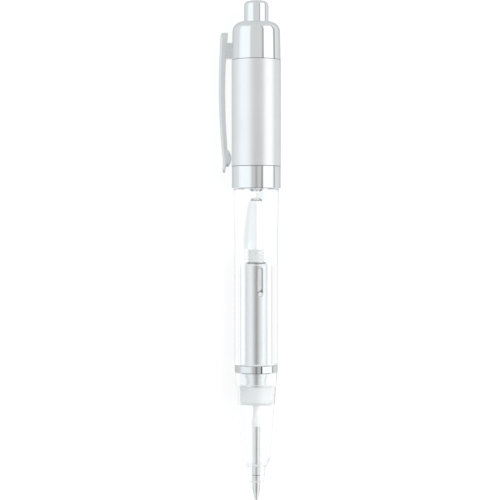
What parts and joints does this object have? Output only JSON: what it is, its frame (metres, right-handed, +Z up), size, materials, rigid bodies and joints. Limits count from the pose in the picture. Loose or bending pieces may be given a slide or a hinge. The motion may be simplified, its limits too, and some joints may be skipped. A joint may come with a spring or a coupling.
{
  "type": "light-up twist pen",
  "caption": "Ballpoint pen with clear barrel and nose, visible twist mechanism, satin and chrome rear tube, bowed side clip and a lamp switched by the push button.",
  "frame": {"origin": "middle of the lying pen's outline, on the surface that it lies on", "axes": "+Y along the pen, from the writing ball to the push button; +Z up; the clip is on the -X side, rolled down until its outer edge rests on the surface"},
  "size_m": [0.017, 0.141, 0.0139],
  "materials": {
    "satin_silver": "satin, fine brushed, lacquered",
    "chrome": "bright plated",
    "clear_plastic": "clear, polished",
    "frosted_plastic": "translucent",
    "pale_nylon": "moulded",
    "stem_plastic": "moulded, translucent white",
    "liner_plastic": "moulded",
    "holder_plastic": "moulded",
    "refill_steel": "drawn tube",
    "nickel_silver": "turned",
    "ball_steel": "polished",
    "cell_can": "nickel plated can",
    "brass_contact": "bare",
    "spring_wire": "drawn wire",
    "tinned_wire": "tinned",
    "lamp_epoxy": "clear, moulded"
  },
  "bodies": {
    "barrel": {"cap": "chrome", "clip": "chrome", "upper_barrel": "satin_silver", "center_band": "chrome", "clear_barrel": "clear_plastic", "drive_bush": "clear_plastic", "mechanism_cam": "pale_nylon", "battery_sleeve": "liner_plastic", "battery_cell_1": "cell_can", "battery_cell_2": "cell_can", "battery_cell_3": "cell_can", "contact_spring": "spring_wire", "contact_plate": "brass_contact", "led_holder": "holder_plastic", "led_body": "lamp_epoxy", "led_lead_plus": "tinned_wire", "led_lead_minus": "tinned_wire", "button_return_spring": "spring_wire"},
    "button": {"push_button": "chrome", "contact_pin": "brass_contact"},
    "nose": {"trim_ring": "chrome", "nose_cone": "clear_plastic", "nose_bushing": "frosted_plastic", "mechanism_sleeve": "chrome"},
    "refill": {"refill_follower": "pale_nylon", "refill_tube": "stem_plastic", "refill_body": "refill_steel", "refill_point": "nickel_silver", "refill_ball": "ball_steel"}
  },
  "joints": [
    {"name": "button_press", "type": "slide", "parent": "barrel", "child": "button", "axis": [0, -1, 0], "range_m": [0, 0.0015], "stiffness_N_per_m": 400, "springref_m": -0.001, "deforming": ["button_return_spring"]},
    {"name": "nose_twist", "type": "hinge", "parent": "barrel", "child": "nose", "pos_m": [0.00157, 0, 0.00695], "axis": [0, 1, 0], "range_deg": [0, 180]},
    {"name": "refill_slide", "type": "slide", "parent": "nose", "child": "refill", "axis": [0, 1, 0], "range_m": [0, 0.0065]}
  ],
  "couplings": [
    {"joint": "refill_slide", "follows": "nose_twist", "m_per_rad": 0.002069}
  ]
}
